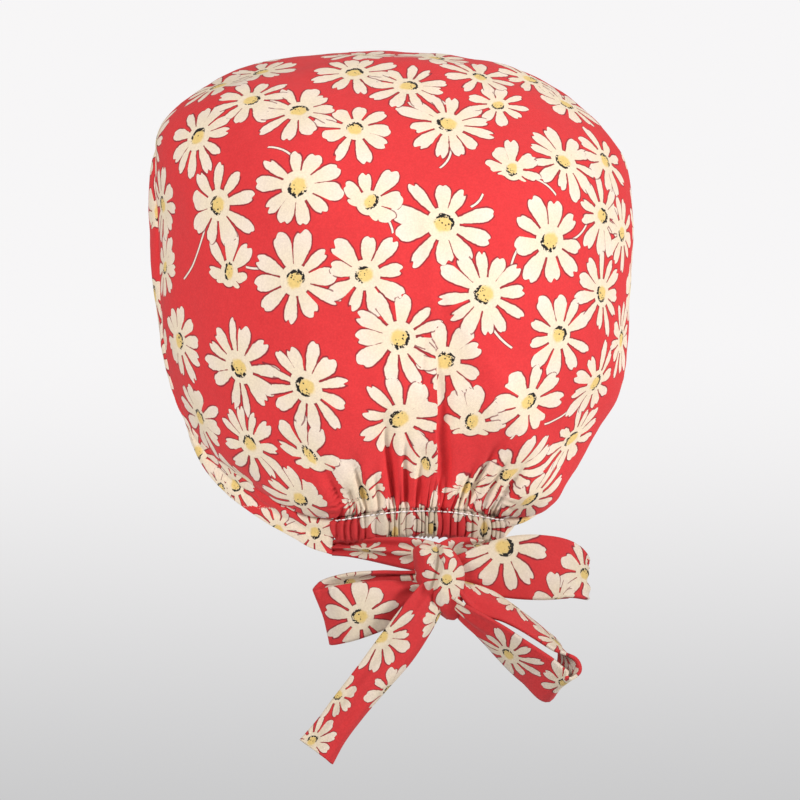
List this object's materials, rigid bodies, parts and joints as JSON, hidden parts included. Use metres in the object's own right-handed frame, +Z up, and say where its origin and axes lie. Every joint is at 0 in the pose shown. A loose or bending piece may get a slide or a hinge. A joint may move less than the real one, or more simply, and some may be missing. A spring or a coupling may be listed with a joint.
{
  "type": "surgical scrub cap",
  "caption": "Tie-back cloth scrub cap with a full gathered crown, a front band, an elastic casing at the nape and ties in a bow.",
  "frame": {"origin": "middle of the head opening, at the height of the tops of the ears, where a head holds the cap", "axes": "+Z up; the wearer faces -Y, the gathered nape and the bow are at +Y, and +X is the wearer's left"},
  "size_m": [0.2217, 0.2203, 0.3275],
  "materials": {
    "cotton_print": "matte printed cotton, red with cream daisies",
    "casing_cotton": "matte printed cotton, gathered on elastic",
    "tie_cotton": "matte printed cotton, folded and edge-stitched"
  },
  "bodies": {
    "root": {"crown": "cotton_print", "front_band": "cotton_print", "nape_casing": "casing_cotton", "strap_left": "tie_cotton", "strap_right": "tie_cotton", "knot": "tie_cotton", "bow_loop_left": "tie_cotton", "bow_loop_right": "tie_cotton", "bow_loop_lower": "tie_cotton", "tie_tail": "tie_cotton"}
  },
  "joints": []
}
